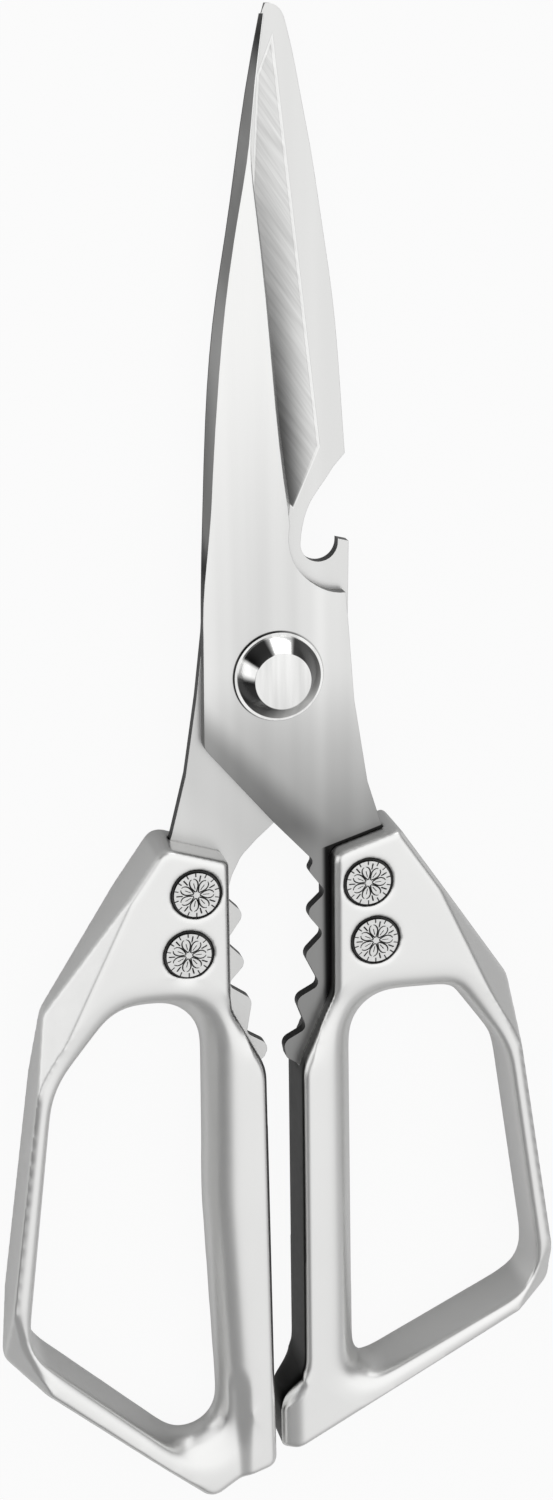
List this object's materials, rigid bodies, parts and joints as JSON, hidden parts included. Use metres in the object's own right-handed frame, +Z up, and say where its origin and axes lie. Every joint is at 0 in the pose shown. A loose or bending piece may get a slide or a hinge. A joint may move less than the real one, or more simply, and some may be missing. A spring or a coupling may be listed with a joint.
{
  "type": "kitchen shears",
  "caption": "All-metal kitchen shears with pivoting flat blades, a bottle opener notch, toothed nutcracker jaws and cast finger loops riveted to the tangs.",
  "frame": {"origin": "on the pivot axis, where it meets the flat surface that the shears lie on", "axes": "+Y along the closed shears from the pivot to the tips, +X across toward the smaller loop, +Z up out of the front face along the pivot axis"},
  "size_m": [0.0819, 0.2118, 0.0104],
  "materials": {
    "blade_steel": "satin ground",
    "cast_steel": "fine satin over a smooth casting",
    "pivot_chrome": "polished",
    "rivet_steel": "satin with a pressed pattern"
  },
  "bodies": {
    "back_half": {"back_blade": "blade_steel", "left_handle": "cast_steel", "pivot_bolt": "pivot_chrome", "pivot_nut": "pivot_chrome", "front_washer": "pivot_chrome", "rear_washer": "pivot_chrome", "left_upper_rivet_front": "rivet_steel", "left_upper_rivet_rear": "rivet_steel", "left_lower_rivet_front": "rivet_steel", "left_lower_rivet_rear": "rivet_steel"},
    "front_half": {"front_blade": "blade_steel", "right_handle": "cast_steel", "right_upper_rivet_front": "rivet_steel", "right_upper_rivet_rear": "rivet_steel", "right_lower_rivet_front": "rivet_steel", "right_lower_rivet_rear": "rivet_steel"}
  },
  "joints": [
    {"name": "pivot", "type": "hinge", "parent": "back_half", "child": "front_half", "pos_m": [0, 0, 0.0052], "axis": [0, 0, 1], "range_deg": [0, 100]}
  ]
}
